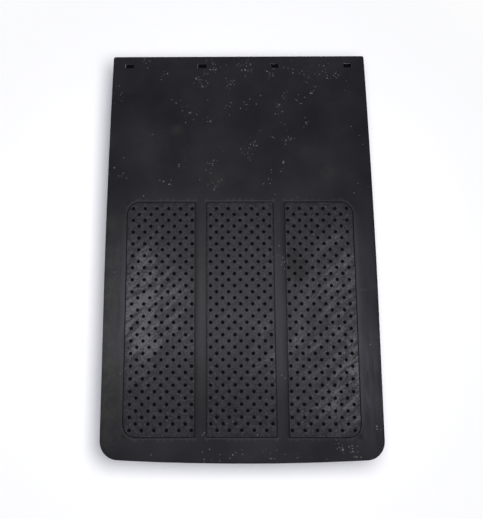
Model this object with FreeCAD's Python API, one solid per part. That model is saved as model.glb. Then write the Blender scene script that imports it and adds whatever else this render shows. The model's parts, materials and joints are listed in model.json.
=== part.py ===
import FreeCAD, Part
import math
import os

# Rubber mud flap for a truck or trailer, nominal size 400 x 600 mm.
#
# X runs across the flap, Z is up, and the dimpled front faces -Y. The back face lies on Y = 0. The
# origin is on the back face, at the middle of the row of slots that the flap hangs from.
#
# The flap is one rubber moulding that bends all the way down. It is modelled as a mounting band that
# the hanger clamps, and eight bands below it, each hinged to the one above at a fold line. The upper
# end of a band is a full-round nose, which turns in a hollow along the lower end of the band above.
# Three raised pads with staggered dimples cover the lower part, cut at the same fold lines.

# Sheet
flap_width = 400.0
flap_height = 600.0
thickness = 6.0
bottom_bow = 6.0  # how far the bottom edge bows down, from its corners to its middle
bottom_corner_radius = 26.0
top_corner_radius = 3.0
side_curve_height = 400.0  # the side edges draw in over this height below the top edge
side_curve_depth = 5.5

# Slots for the hanger's bolts
slot_count = 4
slot_spacing = 113.0
slot_length = 13.5
slot_height = 8.5
slot_corner_radius = 1.0
slot_drop = 14.5  # from the top edge down to the row of slots

# Pads, as one block split by two plain strips
block_width = 335.2
block_height = 334.8
block_centre_drop = 397.5  # from the top edge down to the middle of the block
strip_width = 17.0
centre_pad_width = 98.8
block_corner_radius = 18.0
pad_rise = 0.8
groove_width = 1.4
groove_depth = 1.8
pad_names = {-1: "left_pad", 0: "centre_pad", 1: "right_pad"}

# Dimples: rows and columns half a pitch apart, every other place filled
half_pitch = 8.75
dimple_rows = 37
dimple_columns = 11
outer_lattice_offset = 114.7  # from the flap's middle to the middle column of an outer pad
dimple_mouth_radius = 2.6
dimple_floor_radius = 1.6
dimple_depth = 2.4

# Fold lines, each halfway between two rows of dimples or on the same spacing above them
fold_count = 8
first_fold_row = -22
rows_per_band = 8
running_gap = 0.3
first_padded_band = 3

# Heights and depths that follow
z_top = slot_drop
z_bottom = z_top - flap_height
z_block = z_top - block_centre_drop
y_front = -thickness
y_pad = y_front - pad_rise
y_fold = y_front / 2
nose_radius = thickness / 2
hollow_radius = nose_radius + running_gap
lip_height = math.sqrt(hollow_radius**2 - nose_radius**2)
z_first_row = z_block + half_pitch * (dimple_rows - 1) / 2
fold_z = [
    z_first_row - half_pitch * (first_fold_row + rows_per_band * i - 0.5) for i in range(fold_count)
]
margin = 20.0  # how far cutting shapes run past the sheet


def line(a, b):
    """Straight edge between two points."""
    return Part.LineSegment(a, b).toShape()


def arc(a, middle, b):
    """Round edge from a to b through a point between them."""
    return Part.Arc(a, middle, b).toShape()


def prism(edges, direction):
    """Solid swept in a straight line from a closed loop of edges."""
    return Part.Face(Part.Wire(edges)).extrude(direction)


def fillet_upright(solid, radius, wanted):
    """Round those straight edges along Y whose middle point satisfies the test."""
    edges = []
    for edge in solid.Edges:
        run = edge.BoundBox
        if run.YLength > run.XLength + run.ZLength and wanted(edge.CenterOfMass):
            edges.append(edge)
    return solid.makeFillet(radius, edges)


def sheet_outline():
    """The flap's outline as a deep prism along Y: bowed foot, straight sides that draw in near the top."""
    half = flap_width / 2
    half_top = half - side_curve_depth
    z_corner = z_bottom + bottom_bow
    z_side = z_top - side_curve_height
    side_radius = (side_curve_height**2 + side_curve_depth**2) / (2 * side_curve_depth)
    turn = math.asin(side_curve_height / side_radius) / 2
    x_middle = half - side_radius * (1 - math.cos(turn))
    z_middle = z_side + side_radius * math.sin(turn)

    def at(x, z):
        return FreeCAD.Vector(x, -margin, z)

    loop = [
        arc(at(-half, z_corner), at(0, z_bottom), at(half, z_corner)),
        line(at(half, z_corner), at(half, z_side)),
        arc(at(half, z_side), at(x_middle, z_middle), at(half_top, z_top)),
        line(at(half_top, z_top), at(-half_top, z_top)),
        arc(at(-half_top, z_top), at(-x_middle, z_middle), at(-half, z_side)),
        line(at(-half, z_side), at(-half, z_corner)),
    ]
    outline = prism(loop, FreeCAD.Vector(0, 2 * margin, 0))
    outline = fillet_upright(outline, bottom_corner_radius, lambda p: p.z < z_corner + 1)
    return fillet_upright(outline, top_corner_radius, lambda p: p.z > z_top - 1)


def band_limits(index):
    """Highest and lowest height of a band, from fold line to fold line. Band 0 is the top one."""
    upper = z_top if index == 0 else fold_z[index - 1]
    lower = z_bottom if index == fold_count else fold_z[index]
    return upper, lower


def band_blank(index):
    """Bar along X with a band's cross-section: round nose on top, hollow below, flat at the sheet's ends."""
    upper, lower = band_limits(index)
    is_last = index == fold_count
    lips = lower - margin if is_last else lower + lip_height

    def at(y, z):
        return FreeCAD.Vector(-flap_width, y, z)

    loop = [line(at(0, lips), at(0, upper))]
    if index == 0:
        loop.append(line(at(0, upper), at(y_front, upper)))
    else:
        loop.append(arc(at(0, upper), at(y_fold, upper + nose_radius), at(y_front, upper)))
    loop.append(line(at(y_front, upper), at(y_front, lips)))
    if is_last:
        loop.append(line(at(y_front, lips), at(0, lips)))
    else:
        loop.append(arc(at(y_front, lips), at(y_fold, lower + hollow_radius), at(0, lips)))
    return prism(loop, FreeCAD.Vector(2 * flap_width, 0, 0))


def slot_cutters():
    """The row of slots: upright rectangles with small corner radii, through the sheet."""
    cutters = []
    for i in range(slot_count):
        x = (i - (slot_count - 1) / 2) * slot_spacing
        corner = FreeCAD.Vector(x - slot_length / 2, -margin, -slot_height / 2)
        box = Part.makeBox(slot_length, 2 * margin, slot_height, corner)
        cutters.append(fillet_upright(box, slot_corner_radius, lambda p: True))
    return cutters


def pad_edges(side):
    """Left and right edge of a pad. Side is -1 for the left pad, 0 for the centre and 1 for the right."""
    inner = centre_pad_width / 2
    if side == 0:
        return -inner, inner
    return tuple(sorted((side * (inner + strip_width), side * block_width / 2)))


def pad_prism(side, grow, y_low, y_high):
    """A pad's outline, grown or shrunk all round, as a plate between two depths."""
    left, right = pad_edges(side)
    corner = FreeCAD.Vector(left - grow, y_low, z_block - block_height / 2 - grow)
    plate = Part.makeBox(right - left + 2 * grow, y_high - y_low, block_height + 2 * grow, corner)
    if side == 0:
        return plate
    middle = (left + right) / 2
    return fillet_upright(plate, block_corner_radius + grow, lambda p: (p.x - middle) * side > 0)


def groove(side):
    """The narrow groove round a pad, sunk into the front of the sheet."""
    floor = y_front + groove_depth
    outer = pad_prism(side, groove_width / 2, -margin, floor)
    inner = pad_prism(side, -groove_width / 2, -margin - 1, floor + 1)
    return outer.cut(inner)


def dimples(side, z_low, z_high):
    """Tapered blind dimples of one pad between two heights, as cutting shapes."""
    inwards = FreeCAD.Vector(0, 1, 0)
    # The outer pads start with a dimple in their first column, and the centre pad in its second.
    first_column = 0 if side else 1
    cutters = []
    for row in range(dimple_rows):
        z = z_first_row - row * half_pitch
        if not z_low < z < z_high:
            continue
        for column in range((row + first_column) % 2, dimple_columns, 2):
            x = side * outer_lattice_offset + (column - (dimple_columns - 1) / 2) * half_pitch
            mouth = FreeCAD.Vector(x, y_pad, z)
            cutters.append(
                Part.makeCone(
                    dimple_mouth_radius, dimple_floor_radius, dimple_depth, mouth, inwards
                )
            )
    return cutters


def sheet_band(index, outline):
    """One band of the sheet, with its share of the slots, grooves and dimples."""
    band = band_blank(index).common(outline)
    if index == 0:
        return band.cut(slot_cutters())
    if index < first_padded_band:
        return band
    upper, lower = band_limits(index)
    cutters = []
    for side in pad_names:
        cutters.append(groove(side))
        cutters += dimples(side, lower, upper)
    return band.cut(cutters)


def pad_piece(side, index):
    """The part of a raised pad that lies on one band, short of the fold line below it."""
    upper, lower = band_limits(index)
    low = lower if index == fold_count else lower + lip_height
    corner = FreeCAD.Vector(-flap_width / 2, -margin, low)
    reach = Part.makeBox(flap_width, 2 * margin, upper - low, corner)
    piece = pad_prism(side, -groove_width / 2, y_pad, y_front).common(reach)
    return piece.cut(dimples(side, lower, upper))


def save(shape, node):
    """Write one node, which has to be a single valid solid."""
    solid = shape.removeSplitter()
    if len(solid.Solids) != 1 or not solid.isValid():
        raise ValueError(node)
    solid.Solids[0].exportStep("parts/" + node + ".step")
    print(node, round(solid.Volume / 1000, 2), "cm3")


def main():
    os.makedirs("parts", exist_ok=True)
    outline = sheet_outline()
    save(sheet_band(0, outline), "mounting_band")
    for index in range(1, fold_count + 1):
        save(sheet_band(index, outline), "sheet_band_" + str(index))
    for side, name in pad_names.items():
        for index in range(first_padded_band, fold_count + 1):
            save(pad_piece(side, index), name + "_" + str(index))
    print("fold lines at", [round(z, 3) for z in fold_z])


main()
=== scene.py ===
# %% [markdown]
# A rubber mud flap, made in Blender around its imported CAD model.
#
# The real flap is one moulding: a plain black sheet with four bolt slots along the top, and three
# raised pads of dimples below. It hangs from its slots and bends all the way down. The CAD model
# cuts it into bands with a hinge between each two, so that it can be simulated. Here the sheet is
# made again as smooth rubber, in strips that each cross one hinge.

# %% Load the CAD model
import json
import math

import bmesh
import bpy
import numpy as np
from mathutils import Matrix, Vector
from mathutils.geometry import delaunay_2d_cdt


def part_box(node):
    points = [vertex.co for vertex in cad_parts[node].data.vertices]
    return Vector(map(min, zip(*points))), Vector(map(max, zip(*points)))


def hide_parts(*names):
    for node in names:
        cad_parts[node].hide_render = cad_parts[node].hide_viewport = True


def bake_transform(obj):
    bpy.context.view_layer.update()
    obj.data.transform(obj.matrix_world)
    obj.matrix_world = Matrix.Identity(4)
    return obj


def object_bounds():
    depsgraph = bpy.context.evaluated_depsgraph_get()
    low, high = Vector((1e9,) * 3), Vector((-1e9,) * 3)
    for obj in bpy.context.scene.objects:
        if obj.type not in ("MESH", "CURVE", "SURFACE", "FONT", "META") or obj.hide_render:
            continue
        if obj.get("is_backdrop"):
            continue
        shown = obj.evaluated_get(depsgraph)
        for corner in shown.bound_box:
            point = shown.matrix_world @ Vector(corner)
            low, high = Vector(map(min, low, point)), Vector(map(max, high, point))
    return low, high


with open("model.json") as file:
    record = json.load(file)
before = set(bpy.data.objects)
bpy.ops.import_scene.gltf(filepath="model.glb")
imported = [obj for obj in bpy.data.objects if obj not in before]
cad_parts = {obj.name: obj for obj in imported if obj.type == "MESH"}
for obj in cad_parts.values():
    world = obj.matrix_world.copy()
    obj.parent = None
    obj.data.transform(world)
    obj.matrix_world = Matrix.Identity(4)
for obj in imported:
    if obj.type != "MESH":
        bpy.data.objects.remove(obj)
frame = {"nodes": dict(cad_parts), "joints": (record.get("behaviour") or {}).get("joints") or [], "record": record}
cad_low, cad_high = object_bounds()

MM = 0.001
print("CAD box in mm:", [round(v / MM, 1) for v in (*cad_low, *cad_high)])

# %% [markdown]
# Everything is placed from the CAD model. The joints give the fold lines. A strip of the visual
# sheet runs from halfway between one pair of folds to halfway between the next, so each strip
# crosses exactly one fold, and two strips meet where neither of them bends.

# %% Heights and depths from the frame
joints = sorted(frame["joints"], key=lambda joint: -joint["pos_m"][2])
fold_z = np.array([joint["pos_m"][2] for joint in joints])
seam_z = (fold_z[:-1] + fold_z[1:]) / 2
top_z, bottom_z = cad_high.z, cad_low.z
front_y, back_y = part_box("mounting_band")[0].y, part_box("mounting_band")[1].y
pad_y = cad_low.y
half_width = cad_high.x

HALF_PITCH = 8.75 * MM
ROW_STEP = HALF_PITCH / 2
strip_tops = np.array([1.0, *seam_z])
strip_bottoms = np.array([*seam_z, -2.0])
row_lines = seam_z[0] + ROW_STEP * np.arange(-200, 60)
print(len(joints), "folds,", len(strip_tops), "strips, seams at mm", np.round(seam_z / MM, 1))

# %% [markdown]
# The outline is straight at the sides and draws in a little towards the top. The bottom edge bows
# down, and its corners are large arcs. It is worked out as one right-hand half, which is mirrored.
# The straight runs have a point on every row line, so that the seams between strips fall on points.

# %% Outline of the sheet
SIDE_CURVE_HEIGHT = 400 * MM
SIDE_CURVE_DEPTH = 5.5 * MM
BOTTOM_BOW = 6 * MM
BOTTOM_CORNER = 26 * MM
TOP_CORNER = 3 * MM
EDGE_STEP = 9 * MM


def half_at(z):
    """Half the sheet's width at a height: it shrinks with the square of the height above a level."""
    rise = np.clip((z - (top_z - SIDE_CURVE_HEIGHT)) / SIDE_CURVE_HEIGHT, 0, 1)
    return half_width - SIDE_CURVE_DEPTH * rise**2


def arc_points(x, z, radius, start, end, count):
    """Points on a circle about (x, z), from one angle to another, in radians."""
    turn = np.linspace(start, end, count)
    return np.stack([x + radius * np.cos(turn), z + radius * np.sin(turn)], 1)


def outline_path():
    """The closed outline, anticlockwise seen from the front: foot, corner, side, top, and the mirror."""
    centre_x = half_width - BOTTOM_CORNER
    bow = BOTTOM_BOW / half_width**2
    lean = math.atan(2 * bow * centre_x)
    centre_z = bottom_z + bow * centre_x**2 + BOTTOM_CORNER / math.cos(lean)
    corner = arc_points(centre_x, centre_z, BOTTOM_CORNER, lean - math.pi / 2, 0, 12)
    foot_x = np.linspace(0, corner[0, 0], int(corner[0, 0] / EDGE_STEP))[:-1]
    foot = np.stack([foot_x, bottom_z + bow * foot_x**2], 1)
    side_z = row_lines[(row_lines > centre_z + MM) & (row_lines < top_z - TOP_CORNER - MM)]
    side = np.stack([half_at(side_z), side_z], 1)
    top_x = half_at(top_z) - TOP_CORNER
    top_corner = arc_points(top_x, top_z - TOP_CORNER, TOP_CORNER, 0, math.pi / 2, 6)
    top_run = np.linspace(top_x, 0, int(top_x / EDGE_STEP))[1:]
    top = np.stack([top_run, np.full_like(top_run, top_z)], 1)
    right = np.concatenate([foot, corner, side, top_corner, top])
    left = right[1:-1][::-1] * [-1, 1]
    return np.concatenate([right, left])


outline = outline_path()
print("outline has", len(outline), "points")

# %% [markdown]
# Two tools make nearly every surface. One carries a profile along a closed path, as a rounded edge
# or a groove wall runs round its outline. The other fills a flat area between such paths with
# triangles, with rows of points inside it, because a face without inner rows couldn't bend.

# %% Surface tools


def outward(path):
    """Unit normals of a closed anticlockwise path: each is the run from neighbour to neighbour, turned."""
    along = np.roll(path, -1, 0) - np.roll(path, 1, 0)
    normal = np.stack([along[:, 1], -along[:, 0]], 1)
    return normal / np.linalg.norm(normal, axis=1, keepdims=True)


def sweep(path, profile):
    """Row k of the grid is the path moved outward by profile[k, 0], at the depth y of profile[k, 1]."""
    offset, depth = np.array(profile).T
    flat = path[None] + offset[:, None, None] * outward(path)[None]
    depths = np.broadcast_to(depth[:, None], flat.shape[:2])
    points = np.stack([flat[..., 0], depths, flat[..., 1]], 2).reshape(-1, 3)
    rows, count = flat.shape[:2]
    here = np.arange(count)[None] + count * np.arange(rows - 1)[:, None]
    beside = np.roll(here, -1, 1)
    faces = np.stack([here, beside, beside + count, here + count], 2).reshape(-1, 4)
    return points, faces


def rounding(offset, depth, radius, sign, steps=4):
    """Quarter-round profile, from a flat face to the side. It starts short of the offset by the radius."""
    turn = np.linspace(0, math.pi / 2, steps + 1)
    return list(zip(offset - radius * (1 - np.sin(turn)), depth + sign * radius * (1 - np.cos(turn))))


def inside(path, points):
    """True for points within a closed path, by counting the path's crossings to their right."""
    ax, az = path.T
    bx, bz = np.roll(path, -1, 0).T
    px, pz = points[:, :1], points[:, 1:]
    spans = (az > pz) != (bz > pz)
    rise = np.where(bz == az, 1.0, bz - az)
    crossing = ax + (pz - az) * (bx - ax) / rise
    return (spans & (px < crossing)).sum(1) % 2 == 1


def fill(outer, holes, y, step=EDGE_STEP):
    """Flat area between an outer path and holes, with rows of points inside and an edge along each seam."""
    clear = min(3 * MM, 0.6 * step)
    columns = np.arange(-int(half_width / step), int(half_width / step) + 1) * step
    grid = np.stack(np.meshgrid(columns, row_lines), 2).reshape(-1, 2)
    loops = [outer, *holes]
    for number, loop in enumerate(loops):
        away = np.sqrt(((grid[:, None] - loop[None]) ** 2).sum(2).min(1)) > clear
        grid = grid[away & (inside(loop, grid) == (number == 0))]
    sizes = [len(loop) for loop in loops]
    starts = np.cumsum([0, *sizes])
    points = np.concatenate([*loops, grid])
    edges = [
        np.stack([start + np.arange(size), start + (np.arange(size) + 1) % size], 1)
        for start, size in zip(starts, sizes)
    ]
    for z in seam_z:
        level = np.flatnonzero(np.abs(outer[:, 1] - z) < 0.01 * MM)
        edges.append(level.reshape(-1, 2))
    made = delaunay_2d_cdt(points.tolist(), np.concatenate(edges).tolist(), [], 0, 1e-7)
    flat = np.array([tuple(p) for p in made[0]])
    faces = np.array(made[2])
    middle = flat[faces].mean(1)
    keep = inside(outer, middle)
    for hole in holes:
        keep &= ~inside(hole, middle)
    solid = np.stack([flat[:, 0], np.full(len(flat), y), flat[:, 1]], 1)
    return solid, faces[keep]


print("rounding of 1 mm:", np.round(np.array(rounding(0, 0, 1, 1)), 2).tolist())

# %% [markdown]
# The slots are upright rectangles with small corner radii, and go right through. The pads sit in
# shallow pockets, whose rims leave a narrow groove round each pad. That groove is the dark line
# that outlines the pads; its floor is also painted dark, as shade. Only the block's own four
# corners are large arcs, the others are sharp.

# %% Slots and pad outlines
SLOT_CORNER = 1 * MM
GROOVE_WIDTH = 1.4 * MM
GROOVE_DEPTH = 1.8 * MM
BLOCK_CORNER = 18 * MM
SHARP_CORNER = 0.8 * MM
SLOT_SIZE = (13.5 * MM, 8.5 * MM)
sides = {-1: "left_pad", 0: "centre_pad", 1: "right_pad"}
groove_floor = front_y + GROOVE_DEPTH


def rounded_box(low, high, radii, rows=None):
    """Closed rectangle with an arc at each corner, anticlockwise from the lower right.

    If rows are given, the upright sides get a point on each of those heights.
    """
    (x0, z0), (x1, z1) = low, high
    middles = [(x1, z0, -1, 1), (x1, z1, -1, -1), (x0, z1, 1, -1), (x0, z0, 1, 1)]
    runs = []
    for number, (x, z, turn_x, turn_z) in enumerate(middles):
        radius = radii[number]
        start = (number - 1) * math.pi / 2
        count = 3 if radius < 2 * MM else 12
        arc = arc_points(x + turn_x * radius, z + turn_z * radius, radius, start, start + math.pi / 2, count)
        runs.append(arc)
        following = middles[(number + 1) % 4]
        next_radius = radii[(number + 1) % 4]
        if number in (0, 2) and rows is not None:
            lo, hi = sorted((z + turn_z * radius, following[1] + following[3] * next_radius))
            levels = rows[(rows > lo + MM / 2) & (rows < hi - MM / 2)]
            levels = levels if number == 0 else levels[::-1]
            runs.append(np.stack([np.full_like(levels, x), levels], 1))
        elif rows is not None:
            a, b = arc[-1, 0], following[0] + following[2] * next_radius
            run = np.linspace(a, b, max(2, int(abs(b - a) / EDGE_STEP) + 1))[1:-1]
            runs.append(np.stack([run, np.full_like(run, z)], 1))
    return np.concatenate(runs)


def pad_box(side):
    """Lowest and highest (x, z) of a whole pad, from its CAD pieces."""
    names = [name for name in frame["nodes"] if name.startswith(sides[side])]
    lows, highs = zip(*(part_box(name) for name in names))
    low = (min(v.x for v in lows), min(v.z for v in lows))
    high = (max(v.x for v in highs), max(v.z for v in highs))
    return np.array(low), np.array(high)


def pad_loop(side, grow, rows=None):
    """A pad's outline grown all round. The corners on the block's outside are large arcs."""
    low, high = pad_box(side)
    large, small = BLOCK_CORNER + grow, SHARP_CORNER + grow
    right, left = (large if side == 1 else small), (large if side == -1 else small)
    return rounded_box(low - grow, high + grow, (right, right, left, left), rows)


slots = []
for opening in frame["record"]["physics"]["openings"]:
    low, high = np.array(opening["box_m"])
    middle = (low + high)[[0, 2]] / 2
    half = np.array(SLOT_SIZE) / 2
    slots.append(rounded_box(middle - half, middle + half, [SLOT_CORNER] * 4))
pockets = [pad_loop(side, GROOVE_WIDTH, row_lines) for side in sides]
print(len(slots), "slots,", len(pockets), "pads")
print("centre pad spans mm", np.round(np.array(pad_box(0)) / MM, 1).tolist())

# %% [markdown]
# A moulded sheet is never quite flat. A low wave of about 1 mm runs across the front and grows
# towards the free end, because the top is clamped. It is one formula of x and z, so the pads and the
# sheet follow it alike. The back stays flat, as the CAD model has it.

# %% Wave of the sheet
WAVE_HEIGHT = 1.1 * MM


def wave(x, z):
    """Depth offset: two slow sines across and down the sheet, times a share that grows below the slots."""
    share = np.clip((fold_z[0] - z) / (fold_z[0] - bottom_z), 0, 1)
    across = np.sin(2 * math.pi * x / 0.31 + 0.8) + 0.7 * np.sin(2 * math.pi * (x - 0.6 * z) / 0.23)
    return WAVE_HEIGHT * share * (3 - 2 * share) * across / 2


print("wave at the foot, mm:", np.round(wave(np.linspace(-0.19, 0.19, 5), bottom_z) / MM, 2))

# %% [markdown]
# Dust, flecks of pale paint and smears gather in places: flecks round the slots, dust on the left
# margin, smears on the outer pads. Each such place is a soft spot, given as x, z and radius in mm
# and a share. A share below zero is a place wiped clean. The spots are added up at every point of
# the mesh and stored there for the materials.

# %% Where the marks gather
FLECK_SPOTS = [
    (-41, -4, 5, 2.4), (-46, 4, 4, 1.2), (7, -3, 6, 2.6), (-13, -4, 7, 0.8), (14, -13, 6, 0.9),
    (24, -2, 5, 0.7), (-64, -26, 6, 2.0), (-54, -30, 5, 1.0), (-50, -16, 4, 1.2), (-14, -28, 7, 0.9),
    (10, -40, 4, 0.9), (7, -63, 5, 1.0), (22, -57, 4, 0.8), (-14, -70, 6, 0.7), (-117, -16, 6, 0.7),
    (-139, 4, 7, 0.6), (54, -13, 5, 2.2), (46, -12, 4, 1.4), (85, -11, 8, 0.9), (122, -12, 9, 1.3),
    (104, -14, 8, 0.7), (150, -14, 4, 2.2), (144, -22, 5, 0.9), (168, -34, 4, 0.7), (65, -48, 5, 0.9),
    (93, -56, 4, 2.0), (109, -45, 5, 1.3), (122, -34, 6, 0.8), (59, -69, 4, 3.0), (64, -80, 4, 1.6),
    (66, -92, 4, 1.6), (74, -112, 5, 1.8), (77, -120, 5, 1.6), (101, -89, 5, 1.5), (52, -116, 5, 0.7),
    (21, -128, 7, 1.6), (12, -144, 5, 3.0), (-182, -52, 4, 2.4), (-186, -34, 5, 0.8), (-92, -66, 8, 0.6),
    (-72, -74, 8, 0.9), (-76, -86, 6, 0.9), (-45, -90, 4, 1.0), (-128, -110, 5, 0.9), (-72, -128, 5, 0.6),
    (-88, -158, 6, 0.9), (-42, -158, 6, 1.2), (-44, -172, 5, 1.1), (-37, -192, 5, 1.8), (-185, -172, 7, 0.9),
    (69, -156, 6, 1.3), (45, -188, 8, 0.8), (-110, -184, 7, 0.8), (180, -196, 6, 0.7), (186, -121, 4, 0.8),
    (137, -562, 5, 2.4), (150, -563, 5, 1.6), (157, -576, 5, 2.4), (170, -572, 5, 0.9), (-6, -577, 7, 1.3),
    (39, -577, 8, 1.2), (80, -582, 9, 0.8), (-40, -580, 12, 0.6), (-166, -570, 6, 0.9), (66, -290, 6, 1.5),
    (68, -306, 5, 1.6), (36, -454, 4, 1.8), (-43, -460, 4, 2.0), (-48, -545, 4, 2.4), (-2, -306, 4, 1.3),
    (158, -452, 6, 1.4), (152, -478, 6, 1.4), (190, -540, 5, 1.2), (48, -470, 8, 0.6), (14, -530, 8, 0.6),
]
DUST_SPOTS = [
    (-200, -250, 15, 0.5), (-199, -300, 17, 0.8), (-197, -350, 18, 0.9), (-196, -400, 20, 1.0),
    (-195, -450, 20, 1.0), (-196, -500, 20, 0.7), (-194, -545, 20, 0.5), (-202, -120, 12, 0.3),
    (-60, 16, 30, 0.25), (-130, 16, 30, 0.25), (20, 16, 30, 0.2), (100, 14, 24, 0.25), (160, 10, 24, 0.25),
    (-140, -128, 22, 0.25), (-95, -104, 6, 0.5), (133, -172, 10, 0.35), (158, -104, 8, 0.3),
    (104, -138, 8, 0.3), (-30, -178, 10, 0.3), (206, -420, 12, 0.8), (206, -500, 12, 0.8),
    (204, -340, 8, 0.5),
]
SMEAR_SPOTS = [
    (-155, -300, 22, 0.8), (-150, -335, 26, 1.0), (-148, -375, 28, 1.1), (-156, -410, 28, 1.1),
    (-125, -350, 26, 0.6), (-130, -400, 26, 0.7), (-100, -330, 24, 0.5), (-90, -400, 26, 0.4),
    (-150, -445, 24, 0.5), (30, -400, 28, 0.45), (44, -450, 20, 0.6), (-20, -400, 26, 0.3),
    (145, -285, 20, 0.7), (140, -320, 26, 1.1), (100, -350, 26, 0.5), (150, -370, 24, 1.0),
    (95, -420, 24, 0.7), (86, -318, 9, -1.8), (79, -298, 7, -1.0), (-25, -505, 24, -0.5),
    (-186, -418, 24, 0.5), (155, -405, 22, 0.7), (-110, -400, 26, 0.3), (-100, -370, 26, 0.2),
    (40, -310, 16, 0.4),
    (160, -430, 14, 1.3), (158, -460, 12, 1.5), (130, -460, 24, 0.7), (155, -500, 22, 1.1),
    (110, -510, 24, 0.8), (60, -400, 26, 0.3), (-60, -410, 20, 0.3), (186, -330, 18, 0.3),
    (184, -440, 24, 1.0), (184, -490, 22, 0.9), (180, -540, 20, 0.5), (0, -350, 26, 0.2),
]


def gathered(x, z, spots):
    """Sum of soft spots, each falling off as a bell curve of the distance from its middle."""
    where_x, where_z, radius, share = np.array(spots).T * [[MM], [MM], [MM], [1]]
    distance = (x[:, None] - where_x) ** 2 + (z[:, None] - where_z) ** 2
    return (share * np.exp(-distance / (2 * radius**2))).sum(1)


print("flecks at the slots:", np.round(gathered(np.array([0.05]), np.array([-0.002]), FLECK_SPOTS), 2))

# %% [markdown]
# A strip's surfaces are cut out of the whole by height, welded, and closed at the seams, so each
# strip is a closed body. Each keeps its place at rest as an attribute. The materials read that
# instead of the bent place, so dust and grain stay put on the rubber when the flap moves. They also
# read how far a point lies down in a dimple or groove: no dust settles there, and the colour there is
# painted darker than clean rubber, as shade.

# %% Cut strips, and find the hollows
SMOOTH_BELOW = math.radians(38)


def join(surfaces):
    """Stacks several surfaces' points and faces into one list of points and one of faces."""
    points, faces, start = [], [], 0
    for part_points, part_faces in surfaces:
        points.append(part_points)
        faces += (part_faces + start).tolist()
        start += len(part_points)
    return np.concatenate(points), faces


def cut_out(surfaces, low, high):
    """The faces of each surface whose middle lies between two heights, with only their own points."""
    kept = []
    for points, faces in surfaces:
        level = points[faces][..., 2].mean(1)
        chosen = faces[(level > low) & (level < high)]
        if len(chosen):
            used, renumbered = np.unique(chosen, return_inverse=True)
            kept.append((points[used], renumbered.reshape(chosen.shape)))
    return kept


def hollow_share(place):
    """1 on the floor of a dimple or groove, 0 on every open surface, smoothly between. The materials darken by it
    as painted shade.
    """
    x, y, z = place.T
    low, high = block
    within = (x > low[0]) & (x < high[0]) & (z > low[1]) & (z < high[1])
    raised = on_pads(x, z)
    surface = np.where(raised, pad_y, front_y)
    depth = np.clip((y - surface - 0.15 * MM) / (0.4 * MM), 0, 1)
    return np.where(within & (y < groove_floor + 0.3 * MM), depth, 0.0)


def on_pads(x, z):
    """True where a point lies on a pad."""
    found = np.zeros(len(x), bool)
    for side in sides:
        low, high = pad_box_at[side]
        found |= (x > low[0]) & (x < high[0]) & (z > low[1]) & (z < high[1])
    return found


pad_box_at = {side: pad_box(side) for side in sides}
block = (
    np.min([box[0] for box in pad_box_at.values()], 0) - 2 * GROOVE_WIDTH,
    np.max([box[1] for box in pad_box_at.values()], 0) + 2 * GROOVE_WIDTH,
)
print("pads and grooves span mm", np.round(np.array(block) / MM, 1).tolist())

# %% [markdown]
# Welding joins the surfaces' shared edges. What is still open after that is the cut at a seam, which
# a flat face closes. Then every point gets its stored values, and the front gets its wave.

# %% Weld, store and shade


def store(mesh, name, kind, field, values):
    """Writes one value per point into the mesh."""
    attribute = mesh.attributes.new(name, kind, "POINT")
    attribute.data.foreach_set(field, np.asarray(values, np.float32).ravel())


def make_piece(name, surfaces, material):
    """Welds surfaces into a closed mesh, stores what the materials read, then adds the wave of its front."""
    points, faces = join(surfaces)
    mesh = bpy.data.meshes.new(name)
    mesh.from_pydata(points.tolist(), [], faces)
    solid = bmesh.new()
    solid.from_mesh(mesh)
    bmesh.ops.remove_doubles(solid, verts=solid.verts, dist=0.01 * MM)
    bmesh.ops.dissolve_degenerate(solid, edges=solid.edges, dist=0.001 * MM)
    open_edges = [edge for edge in solid.edges if edge.is_boundary]
    bmesh.ops.holes_fill(solid, edges=open_edges, sides=0)
    bmesh.ops.recalc_face_normals(solid, faces=solid.faces)
    left_open = sum(edge.is_boundary for edge in solid.edges)
    solid.to_mesh(mesh)
    solid.free()
    place = np.empty(len(mesh.vertices) * 3, np.float32)
    mesh.vertices.foreach_get("co", place)
    place = place.reshape(-1, 3).astype(float)
    x, y, z = place.T
    store(mesh, "rest_place", "FLOAT_VECTOR", "vector", place)
    store(mesh, "hollow_shade", "FLOAT", "value", hollow_share(place))
    on_front = y < front_y / 2
    store(mesh, "flecks", "FLOAT", "value", on_front * gathered(x, z, FLECK_SPOTS))
    store(mesh, "dust", "FLOAT", "value", on_front * gathered(x, z, DUST_SPOTS))
    store(mesh, "smears", "FLOAT", "value", on_front * gathered(x, z, SMEAR_SPOTS))
    forward = np.clip(y / front_y, 0, 1)
    bent = np.stack([x, y + forward * wave(x, z), z], 1)
    mesh.vertices.foreach_set("co", bent.astype(np.float32).ravel())
    mesh.shade_smooth()
    mesh.set_sharp_from_angle(angle=SMOOTH_BELOW)
    mesh.materials.append(material)
    piece = bpy.data.objects.new(name, mesh)
    bpy.context.scene.collection.objects.link(piece)
    print(name, len(mesh.polygons), "faces,", left_open, "open edges,", len(open_edges), "closed at seams")
    return piece


print("edges bent by more than", round(math.degrees(SMOOTH_BELOW)), "degrees stay sharp")

# %% [markdown]
# Both finishes are black moulded rubber: carbon-filled, so nearly black all through, with an index
# of refraction near 1.52. The sheet comes out of a polished mould face and is smooth with a soft
# sheen. Age and storage leave a thin grey dust on it. One small function adds a node.

# %% Materials: tools


def linear(code):
    """An sRGB hex colour as linear RGBA, by the sRGB curve."""
    srgb = np.array([int(code[i : i + 2], 16) for i in (1, 3, 5)]) / 255
    flat = np.where(srgb <= 0.04045, srgb / 12.92, ((srgb + 0.055) / 1.055) ** 2.4)
    return (*flat.tolist(), 1.0)


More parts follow.
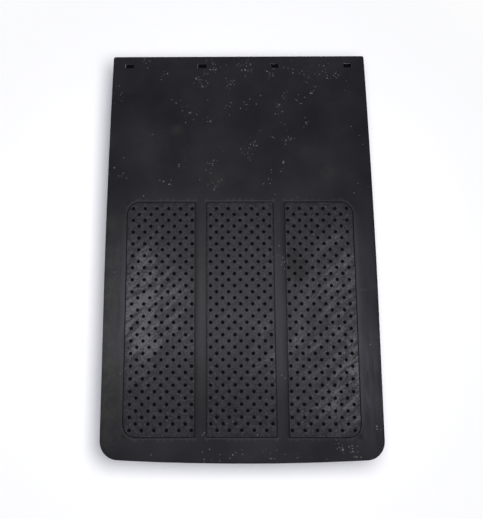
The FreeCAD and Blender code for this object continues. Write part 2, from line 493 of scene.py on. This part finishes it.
def add(tree, kind, inputs=None, **settings):
    """Adds one node. Inputs maps a socket's name or number to a value or to another node's output."""
    node = tree.nodes.new("ShaderNode" + kind)
    for key, value in settings.items():
        setattr(node, key, value)
    for key, value in (inputs or {}).items():
        if isinstance(value, bpy.types.NodeSocket):
            tree.links.new(value, node.inputs[key])
        else:
            node.inputs[key].default_value = value
    return node


def stored(tree, name):
    """The node that reads one of the mesh's stored values."""
    return add(tree, "Attribute", attribute_name=name)


def noise(tree, place, size, detail=4.0, rough=0.55, distortion=0.0):
    """Fractal noise whose blobs are about as wide as size, in metres."""
    inputs = {"Vector": place, "Scale": 1 / size, "Detail": detail, "Roughness": rough}
    return add(tree, "TexNoise", {**inputs, "Distortion": distortion}).outputs["Fac"]


def spread(tree, value, low, high, start=0.0, end=1.0):
    """Rescales a value from one range to another and keeps it there."""
    inputs = {"Value": value, 1: low, 2: high, 3: start, 4: end}
    return add(tree, "MapRange", inputs, clamp=True).outputs[0]


def calculate(tree, operation, a, b=0.5, c=0.5):
    """One step of arithmetic. MULTIPLY_ADD gives a times b plus c."""
    return add(tree, "Math", {0: a, 1: b, 2: c}, operation=operation).outputs[0]


def mixed(tree, share, a, b):
    """Colour a where share is 0 and colour b where it is 1."""
    return add(tree, "Mix", {0: share, 6: a, 7: b}, data_type="RGBA").outputs[2]


def fleck_mask(tree, place, cell, reach, share):
    """Small irregular chips, in the middles of those random cells whose number is under the share."""
    stray = add(tree, "TexNoise", {"Vector": place, "Scale": 2.2 / cell, "Detail": 2.0})
    shift = add(tree, "VectorMath", {0: stray.outputs["Color"], 1: (0.5, 0.5, 0.5)}, operation="SUBTRACT")
    scaled = add(tree, "VectorMath", {0: shift.outputs[0], "Scale": 0.9 * cell}, operation="SCALE")
    moved = add(tree, "VectorMath", {0: place, 1: scaled.outputs[0]}, operation="ADD")
    cells = add(tree, "TexVoronoi", {"Vector": moved.outputs[0], "Scale": 1 / cell})
    number = add(tree, "SeparateColor", {0: cells.outputs["Color"]})
    near = spread(tree, cells.outputs["Distance"], reach * 0.5, reach, 1.0, 0.0)
    chosen = calculate(tree, "LESS_THAN", number.outputs[0], share)
    skewed = calculate(tree, "POWER", number.outputs[1], 2.2)
    bright = calculate(tree, "MULTIPLY_ADD", skewed, 0.75, 0.13)
    return calculate(tree, "MULTIPLY", calculate(tree, "MULTIPLY", near, chosen), bright)


def new_material(name):
    """An empty material and its node tree."""
    material = bpy.data.materials.new(name)
    material.use_nodes = True
    material.node_tree.nodes.clear()
    return material, material.node_tree


RUBBER_IOR = 1.52
print("mid grey as linear light:", round(linear("#808080")[0], 3))

# %% [markdown]
# Smooth moulded rubber. Broad clouds of dust change its brightness over 60 to 90 mm, a fine mottle
# of 3 mm breaks the sheen, and pale paint flecks lie where they have gathered.

# %% Material: smooth moulded rubber


def smooth_rubber():
    """Nearly black sheet rubber: dust clouds, fine mottle, pale flecks, and a low moulded ripple."""
    material, tree = new_material("smooth_moulded_rubber")
    place = stored(tree, "rest_place").outputs["Vector"]
    clouds = spread(tree, noise(tree, place, 80 * MM, 5.0), 0.35, 0.75)
    mottle = noise(tree, place, 3.0 * MM, 3.0, 0.65)
    patches = spread(tree, noise(tree, place, 14 * MM, 5.0, 0.7, 0.5), 0.36, 0.70)
    dust = stored(tree, "dust").outputs["Fac"]
    dust_here = calculate(tree, "MULTIPLY", dust, calculate(tree, "MULTIPLY_ADD", patches, 0.7, 0.3))
    tall = add(tree, "Mapping", {"Vector": place, "Scale": (1, 1, 9)}, vector_type="TEXTURE")
    brushed = spread(tree, noise(tree, tall.outputs[0], 6 * MM, 4.0, 0.6), 0.35, 0.7)
    smears = stored(tree, "smears").outputs["Fac"]
    smeared = calculate(tree, "MULTIPLY", smears, calculate(tree, "MULTIPLY_ADD", brushed, 0.25, 0.08))
    haze = calculate(tree, "MULTIPLY", clouds, calculate(tree, "MULTIPLY_ADD", mottle, 0.2, 0.04))
    haze = calculate(tree, "ADD", haze, smeared)
    clean = mixed(tree, haze, linear("#19181b"), linear("#747077"))
    dusty = mixed(tree, calculate(tree, "MULTIPLY", dust_here, 0.5), clean, linear("#6b6b5c"))
    share = stored(tree, "flecks").outputs["Fac"]
    large = fleck_mask(tree, place, 4.4 * MM, 0.36, calculate(tree, "MULTIPLY_ADD", share, 0.20, -0.05))
    small = fleck_mask(tree, place, 2.4 * MM, 0.48, calculate(tree, "MULTIPLY_ADD", share, 0.13, 0.002))
    flecks = calculate(tree, "MAXIMUM", large, small)
    flecked = mixed(tree, flecks, dusty, linear("#d6d6d2"))
    hollow_shade = stored(tree, "hollow_shade").outputs["Fac"]
    # Dimples and grooves: no dust, and a colour darker than clean rubber, which is painted shade.
    colour = mixed(tree, hollow_shade, flecked, linear("#050506"))
    roughness = calculate(tree, "MULTIPLY_ADD", haze, 0.35, calculate(tree, "MULTIPLY_ADD", dust, 0.08, 0.45))
    ripple = calculate(tree, "MULTIPLY_ADD", mottle, 0.10, noise(tree, place, 24 * MM, 2.0))
    bump = add(tree, "Bump", {"Height": ripple, "Distance": 0.3 * MM, "Strength": 0.8})
    shader = add(
        tree, "BsdfPrincipled",
        {"Base Color": colour, "Roughness": roughness, "IOR": RUBBER_IOR, "Normal": bump.outputs[0]},
    )
    add(tree, "OutputMaterial", {0: shader.outputs[0]})
    return material


sheet_material = smooth_rubber()
print("made", sheet_material.name)

# %% [markdown]
# The pads come from a coarser part of the mould. Their skin is crumpled like paper on a scale of 5
# to 8 mm, and dust has settled on the ridges and been wiped along in slanting smears. It doesn't
# reach into the dimples, which are also painted nearly black, darker than clean rubber, as shade.

# %% Material: crumpled pad rubber


def pad_rubber():
    """Rough pad rubber: crumpled relief, dust on its ridges, slanting pale smears, and dimples painted black as
    shade.
    """
    material, tree = new_material("crumpled_pad_rubber")
    place = stored(tree, "rest_place").outputs["Vector"]
    crumple = noise(tree, place, 6.5 * MM, 3.0, 0.6, 1.0)
    grain = noise(tree, place, 2.4 * MM, 3.0, 0.7)
    along = add(
        tree, "Mapping", {"Vector": place, "Rotation": (0, math.radians(-40), 0), "Scale": (4.0, 1, 1)},
        vector_type="TEXTURE",
    )
    streaks = spread(tree, noise(tree, along.outputs[0], 9 * MM, 3.0, 0.6, 0.3), 0.42, 0.66)
    speckle = spread(tree, grain, 0.40, 0.72)
    ridge = spread(tree, crumple, 0.42, 0.70)
    smears = stored(tree, "smears").outputs["Fac"]
    wiped = calculate(tree, "MULTIPLY", smears, calculate(tree, "MULTIPLY_ADD", streaks, 0.7, 0.1))
    smeared = calculate(tree, "MULTIPLY", wiped, calculate(tree, "MULTIPLY_ADD", speckle, 1.15, 0.3))
    haze = calculate(tree, "MULTIPLY", ridge, calculate(tree, "MULTIPLY_ADD", speckle, 0.22, 0.12))
    haze = calculate(tree, "MULTIPLY_ADD", speckle, 0.14, haze)
    haze = calculate(tree, "ADD", haze, smeared)
    dusty = mixed(tree, haze, linear("#1c1a1e"), linear("#848284"))
    share = stored(tree, "flecks").outputs["Fac"]
    flecks = fleck_mask(tree, place, 2.2 * MM, 0.34, calculate(tree, "MULTIPLY_ADD", share, 0.16, 0.010))
    flecked = mixed(tree, flecks, dusty, linear("#b9b9b6"))
    hollow_shade = stored(tree, "hollow_shade").outputs["Fac"]
    # Dimples: no dust, and a colour darker than clean rubber, which is painted shade.
    colour = mixed(tree, hollow_shade, flecked, linear("#030303"))
    rough = spread(tree, haze, 0.0, 0.7, 0.47, 0.68)
    roughness = calculate(tree, "MAXIMUM", rough, hollow_shade)
    relief = calculate(tree, "MULTIPLY_ADD", grain, 0.30, crumple)
    bump = add(tree, "Bump", {"Height": relief, "Distance": 1.0 * MM, "Strength": 0.8})
    shader = add(
        tree, "BsdfPrincipled",
        {"Base Color": colour, "Roughness": roughness, "IOR": RUBBER_IOR, "Normal": bump.outputs[0]},
    )
    add(tree, "OutputMaterial", {0: shader.outputs[0]})
    return material


pad_material = pad_rubber()
print("made", pad_material.name)

# %% [markdown]
# The sheet itself: a front with pockets and slots, a plain back, the rounded edge all round, the
# pocket walls and floors, and the slot walls. The whole is worked out once and cut into strips.

# %% The sheet
FRONT_ROUND = 1.5 * MM
BACK_ROUND = 1.0 * MM
POCKET_ROUND = 0.4 * MM
SLOT_ROUND = 0.5 * MM


def sheet_surfaces():
    """All surfaces of the bare sheet, as one list."""
    edge = rounding(0, front_y, FRONT_ROUND, 1) + rounding(0, back_y, BACK_ROUND, -1)[::-1]
    front_loop = outline - FRONT_ROUND * outward(outline)
    back_loop = outline - BACK_ROUND * outward(outline)
    pocket_mouths = [loop + POCKET_ROUND * outward(loop) for loop in pockets]
    slot_mouths = [loop + SLOT_ROUND * outward(loop) for loop in slots]
    surfaces = [sweep(outline, edge)]
    surfaces.append(fill(front_loop, pocket_mouths + slot_mouths, front_y, EDGE_STEP / 2))
    surfaces.append(fill(back_loop, slot_mouths, back_y))
    wall = [(-offset, depth) for offset, depth in rounding(0, front_y, POCKET_ROUND, 1, 2)]
    for loop in pockets:
        surfaces.append(sweep(loop, wall + [(0, groove_floor)]))
        surfaces.append(fill(loop, [], groove_floor))
    through = [(-offset, depth) for offset, depth in rounding(0, front_y, SLOT_ROUND, 1, 2)]
    through += [(-offset, depth) for offset, depth in rounding(0, back_y, SLOT_ROUND, -1, 2)[::-1]]
    surfaces += [sweep(loop, through) for loop in slots]
    return surfaces


whole_sheet = sheet_surfaces()
for number, joint in enumerate(joints):
    name = "sheet_strip_" + str(number + 1)
    surfaces = cut_out(whole_sheet, strip_bottoms[number], strip_tops[number])
    piece = make_piece(name, surfaces, sheet_material)
    nodes = ["sheet_band_" + str(number + 1)] + (["mounting_band"] if number == 0 else [])
    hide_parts(*nodes)
    x, y, z = joint["pos_m"]
    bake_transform(piece)

# %% [markdown]
# A pad is a lattice of dimples, staggered like bricks. Each dimple has its own cell, two
# half-pitches wide and one high. Every other row starts and ends with a plain half cell, so the rows
# fit together, and the outermost points are pulled out or in to the pad's own outline.

# %% Lattice of the pads
DIMPLE_DEPTH = 2.4 * MM
DISH_RADIUS = 3.7 * MM
DIMPLE_RINGS = [(2.75 * MM, 0.1 * MM), (2.5 * MM, 0.5 * MM), (1.6 * MM, 2.2 * MM)]
RIM_ROUND = 0.45 * MM
HALF_COLUMNS = 6
OUTER_OFFSET = 114.7 * MM
ROWS = 37
block_low, block_high = pad_box_at[0]
first_row_z = (block_low[1] + block_high[1]) / 2 + HALF_PITCH * (ROWS - 1) / 2


def fit_to_pad(side, u, v):
    """Moves lattice points (u, v) to a pad. The last half pitch stretches to the edge, round at corners."""
    low, high = pad_box_at[side][0] + RIM_ROUND, pad_box_at[side][1] - RIM_ROUND
    middle = side * OUTER_OFFSET
    reach = (HALF_COLUMNS - 1) * HALF_PITCH
    edge = HALF_COLUMNS * HALF_PITCH
    x = np.interp(u, [-edge, -reach, reach, edge], [low[0], middle - reach, middle + reach, high[0]])
    last_row_z = first_row_z - HALF_PITCH * (ROWS - 1)
    ends = [last_row_z - ROW_STEP, last_row_z, first_row_z, first_row_z + ROW_STEP]
    z = np.interp(v, ends, [low[1], last_row_z, first_row_z, high[1]])
    if side:
        radius = BLOCK_CORNER - RIM_ROUND
        centre_x = (high[0] - radius) if side == 1 else (low[0] + radius)
        past_x = np.maximum((x - centre_x) * side, 0)
        past_z = np.maximum(z - (high[1] - radius), 0) + np.minimum(z - (low[1] + radius), 0)
        away = np.hypot(past_x, past_z)
        pull = np.where((past_x > 0) & (past_z != 0) & (away > radius), radius / np.maximum(away, 1e-9), 1)
        x = x - side * past_x * (1 - pull)
        z = z - past_z * (1 - pull)
    return x, z


def lattice(side):
    """Middles of the dimples (u, v), and of the plain half cells at the rows' ends."""
    column, row = np.meshgrid(np.arange(-HALF_COLUMNS + 1, HALF_COLUMNS), np.arange(ROWS))
    filled = (column + row + (0 if side else 1) + HALF_COLUMNS) % 2 == 1
    dimples = np.stack([column[filled] * HALF_PITCH, first_row_z - row[filled] * HALF_PITCH], 1)
    bare = ~filled[:, 0]
    ends = first_row_z - np.arange(ROWS)[bare] * HALF_PITCH
    return dimples, ends


print(len(lattice(-1)[0]), "dimples on an outer pad,", len(lattice(0)[0]), "on the centre pad")

# %% [markdown]
# A cell has twelve points round its edge. Rings of twelve points inside it form a shallow dish, the
# rounded mouth and the tapered wall of the dimple, down to its floor. All cells are made at once.

# %% Dimples


def ring_grid(rings, count):
    """Quads between rings of points, for every cell at once. Rings is (cells, rings, points)."""
    cells, steps = rings
    start = np.arange(cells)[:, None, None] * steps * count
    level = np.arange(steps - 1)[None, :, None] * count
    here = np.arange(count)[None, None]
    beside = (here + 1) % count
    corners = (here, beside, beside + count, here + count)
    return np.stack([start + level + corner for corner in corners], 3).reshape(-1, 4)


def dimple_cells(side, dimples):
    """Rings of every dimple: the cell's edge, a shallow dish, the mouth and the wall, and a fan as floor."""
    edge_u = np.array([2, 2, 1, 0, -1, -2, -2, -2, -1, 0, 1, 2]) * ROW_STEP
    edge_v = np.array([0, 1, 1, 1, 1, 1, 0, -1, -1, -1, -1, -1]) * ROW_STEP
    turn = np.arange(12) * math.pi / 6
    u, v = dimples[:, :1], dimples[:, 1:]
    edge_x, edge_z = fit_to_pad(side, u + edge_u, v + edge_v)
    middle_x, middle_z = fit_to_pad(side, u, v)
    left = middle_x - edge_x.min(1, keepdims=True)
    right = edge_x.max(1, keepdims=True) - middle_x
    room_x = np.where(np.cos(turn) > 0, right, left) / np.maximum(np.abs(np.cos(turn)), 1e-6)
    room = np.minimum(room_x, ROW_STEP / np.maximum(np.abs(np.sin(turn)), 1e-6))
    dish = np.minimum(DISH_RADIUS, 0.94 * room)
    layers = [np.stack([edge_x, np.full_like(edge_x, pad_y), edge_z], 2)]
    for radius, depth in [(dish, 0.0), *DIMPLE_RINGS]:
        ring_x = middle_x + radius * np.cos(turn)
        ring_z = middle_z + radius * np.sin(turn)
        layers.append(np.stack([ring_x, np.full_like(ring_x, pad_y + depth), ring_z], 2))
    points = np.stack(layers, 1)
    cells, steps = points.shape[:2]
    walls = ring_grid((cells, steps), 12)
    floors = np.concatenate([middle_x, np.full_like(middle_x, pad_y + DIMPLE_DEPTH), middle_z], 1)
    ring = points[:, -1]
    fan = np.concatenate([ring, floors[:, None]], 1)
    start = np.arange(cells)[:, None] * 13
    here = np.arange(12)[None]
    triangles = np.stack([start + here, start + (here + 1) % 12, start + 12 + 0 * here], 2).reshape(-1, 3)
    return [(points.reshape(-1, 3), walls), (fan.reshape(-1, 3), triangles)]


print("a dimple is", round(DIMPLE_DEPTH / MM, 1), "mm deep")

# %% [markdown]
# A whole pad is its dimple cells, the plain half cells, a rounded rim and a back. It stands in its
# pocket, just into the floor, so no gap shows beneath it. Then it is cut into strips like the sheet.

# %% The pads


def plain_grid(side, u, v, y):
    """A grid of quads over lattice lines u by v, fitted to the pad, at one depth."""
    grid_u, grid_v = np.meshgrid(u, v)
    x, z = fit_to_pad(side, grid_u, grid_v)
    points = np.stack([x, np.full_like(x, y), z], 2).reshape(-1, 3)
    rows, columns = x.shape
    here = (np.arange(columns - 1)[None] + columns * np.arange(rows - 1)[:, None]).reshape(-1, 1)
    return points, here + np.array([[0, 1, columns + 1, columns]])


def pad_surfaces(side):
    """All surfaces of one pad: dimple cells, plain half cells, the rim round the edge, and the back."""
    dimples, ends = lattice(side)
    surfaces = dimple_cells(side, dimples)
    outer = np.array([HALF_COLUMNS - 1, HALF_COLUMNS - 0.5, HALF_COLUMNS]) * HALF_PITCH
    for z in ends:
        levels = z + ROW_STEP * np.array([-1, 0, 1])
        surfaces += [plain_grid(side, outer, levels, pad_y), plain_grid(side, -outer, levels, pad_y)]
    u = np.arange(-2 * HALF_COLUMNS, 2 * HALF_COLUMNS + 1) * ROW_STEP
    v = first_row_z + ROW_STEP - np.arange(2 * ROWS + 1) * ROW_STEP
    right = np.stack([np.full_like(v, u[-1]), v], 1)[::-1]
    top = np.stack([u, np.full_like(u, v[0])], 1)[::-1]
    left = np.stack([np.full_like(v, u[0]), v], 1)
    bottom = np.stack([u, np.full_like(u, v[-1])], 1)
    ring = np.concatenate([right[:-1], top[:-1], left[:-1], bottom[:-1]])
    path = np.stack(fit_to_pad(side, ring[:, 0], ring[:, 1]), 1)
    back = groove_floor - 0.05 * MM
    rim = rounding(RIM_ROUND, pad_y, RIM_ROUND, 1, 3)
    surfaces.append(sweep(path, rim + [(RIM_ROUND, back), (0, back)]))
    surfaces.append(plain_grid(side, u, v, back))
    return surfaces


for side, pad_name in sides.items():
    whole_pad = pad_surfaces(side)
    numbers = sorted(int(n.rsplit("_", 1)[1]) for n in frame["nodes"] if n.startswith(pad_name))
    for number, joint in enumerate(joints):
        surfaces = cut_out(whole_pad, strip_bottoms[number], strip_tops[number])
        if not surfaces:
            continue
        piece = make_piece(pad_name + "_strip_" + str(number + 1), surfaces, pad_material)
        covered = [number, number + 1] if number == numbers[0] else [number + 1]
        nodes = [pad_name + "_" + str(n) for n in covered]
        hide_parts(*nodes)
        x, y, z = joint["pos_m"]
        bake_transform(piece)

# %% [markdown]
# The stage is a white surround, with a white wall far enough behind the flap that it can swing back
# freely. The wall fades out towards its edge, and is clear from behind. A dark card behind each slot
# is painted shade: it keeps the slot dark as if in shadow, and keeps the rear light out of it. Neither
# the wall nor the cards put any light on the rubber.

# %% Stage
WALL_Y = 620 * MM
WALL_HALF = 1250 * MM
WALL_FADE_FROM = 0.5
CARD_GAP = 1 * MM
CARD_HALF = (8.5 * MM, 6 * MM)


def one_sided(name, colour):
    """A matt surface, clear from behind. The stored value opens it further."""
    material, tree = new_material(name)
    behind = add(tree, "NewGeometry").outputs["Backfacing"]
    open_share = calculate(tree, "MAXIMUM", behind, stored(tree, "open_share").outputs["Fac"])
    matt = add(tree, "BsdfDiffuse", {"Color": linear(colour)})
    clear = add(tree, "BsdfTransparent")
    both = add(tree, "MixShader", {0: open_share, 1: matt.outputs[0], 2: clear.outputs[0]})
    add(tree, "OutputMaterial", {0: both.outputs[0]})
    return material


def upright(name, half_x, half_z, centre, material, fade_from=1.0):
    """A grid that faces the front. It fades out from the share fade_from of its half width to its edge."""
    shares = np.linspace(-1, 1, 25)
    x, z = np.meshgrid(shares, shares)
    points = (np.stack([x * half_x, 0 * x, z * half_z], 2) + centre).reshape(-1, 3)
    here = (np.arange(24)[None] + 25 * np.arange(24)[:, None]).reshape(-1, 1)
    mesh = bpy.data.meshes.new(name)
    mesh.from_pydata(points.tolist(), [], (here + np.array([[0, 1, 26, 25]])).tolist())
    away = np.clip(np.hypot(x, z), 0, 1)
    opened = np.clip((away - fade_from) / max(1 - fade_from, 1e-6), 0, 1)
    store(mesh, "open_share", "FLOAT", "value", opened)
    mesh.materials.append(material)
    piece = bpy.data.objects.new(name, mesh)
    piece.visible_diffuse = False
    piece.visible_glossy = False
    bpy.context.scene.collection.objects.link(piece)
    piece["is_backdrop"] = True
    return piece


white = one_sided("white_wall", "#f4f4f4")
# The dark card colour is painted shade, seen through the slots.
dark = one_sided("painted_slot_shade", "#232326")
wall_centre = (0, WALL_Y, (top_z + bottom_z) / 2)
wall = upright("wall", WALL_HALF, WALL_HALF, wall_centre, white, WALL_FADE_FROM)
wall.visible_shadow = False
for loop in slots:
    x, z = loop.mean(0)
    upright("slot_shade_card", *CARD_HALF, (x, back_y + CARD_GAP, z), dark)
print("wall at y", WALL_Y, "m, normal y:", round(wall.data.polygons[0].normal.y, 2))

# %% [markdown]
# Rubber this dark shows little but its sheen. A soft light beside the camera makes the broad pale
# patch in the middle, and the dim surround gives the rest. The wall has a light of its own, a small
# one just right of the camera and above it, which throws the flap's shadow down and to the left.

# %% Lights
world = bpy.data.worlds.new("white_surround")
bpy.context.scene.world = world
world.use_nodes = True
sky = world.node_tree
sky.nodes.clear()
seen = add(sky, "Background", {"Color": (1, 1, 1, 1), "Strength": 1.0})
dim = add(sky, "Background", {"Color": (0.93, 0.94, 1.14, 1), "Strength": 0.25})
eye = add(sky, "LightPath").outputs["Is Camera Ray"]
both = add(sky, "MixShader", {0: eye, 1: dim.outputs[0], 2: seen.outputs[0]})
add(sky, "OutputWorld", {0: both.outputs[0]})


def lamp(name, kind, place, direction, power, **settings):
    """A light that shines along a direction."""
    light = bpy.data.lights.new(name, kind)
    light.energy = power
    for key, value in settings.items():
        setattr(light, key, value)
    holder = bpy.data.objects.new(name, light)
    holder.location = place
    holder.rotation_mode = "QUATERNION"
    holder.rotation_quaternion = Vector(direction).to_track_quat("-Z", "Y")
    holder.visible_camera = False
    bpy.context.scene.collection.objects.link(holder)
    return holder


CAMERA_PLACE = (-36.9 * MM, -624.9 * MM, -325.6 * MM)
WALL_LIGHT_PLACE = (CAMERA_PLACE[0] + 19 * MM, CAMERA_PLACE[1], CAMERA_PLACE[2] + 14 * MM)
lamp("front", "AREA", (0.0, -0.80, -0.43), (0, 1, 0), 1.6, shape="RECTANGLE", size=0.60, size_y=0.20)
lamp("behind", "AREA", (0.7, 1.2, 0.3), (-0.5, -1, -0.4), 9, size=1.0)
wall_light = lamp("wall_light", "POINT", WALL_LIGHT_PLACE, (0, 1, 0), 38, shadow_soft_size=36 * MM)
wall_light.data.use_nodes = True
bulb = wall_light.data.node_tree
even = add(bulb, "LightFalloff", {"Strength": 1.0}).outputs["Constant"]
bulb.links.new(even, bulb.nodes["Emission"].inputs["Strength"])
lit_by_wall_light = bpy.data.collections.new("lit_by_wall_light")
lit_by_wall_light.objects.link(wall)
wall_light.light_linking.receiver_collection = lit_by_wall_light
print("wall light at mm", [round(v / MM, 1) for v in WALL_LIGHT_PLACE])

# %% [markdown]
# The camera stands close in front of the pads, and tilts up to take in the whole flap. So the flap
# narrows towards the top. The small shift is the framing's: the flap hangs off the middle.

# %% Camera
camera_data = bpy.data.cameras.new("camera")
camera_data.sensor_width = 36
camera_data.lens = 29.13
camera_data.shift_x = 0.0554
camera_data.shift_y = -0.0622
camera = bpy.data.objects.new("camera", camera_data)
camera.location = CAMERA_PLACE
camera.rotation_euler = (math.radians(96.651), math.radians(0.078), math.radians(0.340))
bpy.context.scene.collection.objects.link(camera)
bpy.context.scene.camera = camera
bpy.context.scene.view_settings.view_transform = "Standard"
print("lens", camera_data.lens, "mm on a sensor of", camera_data.sensor_width, "mm")

# %% [markdown]
# The visual model has to stay within the CAD model's box, but for the wave of its front. Both boxes
# are printed, so that they can be compared.

# %% Print the visual box, and finish
low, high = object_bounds()
print("visual box in mm:", [round(v / MM, 1) for v in (*low, *high)])
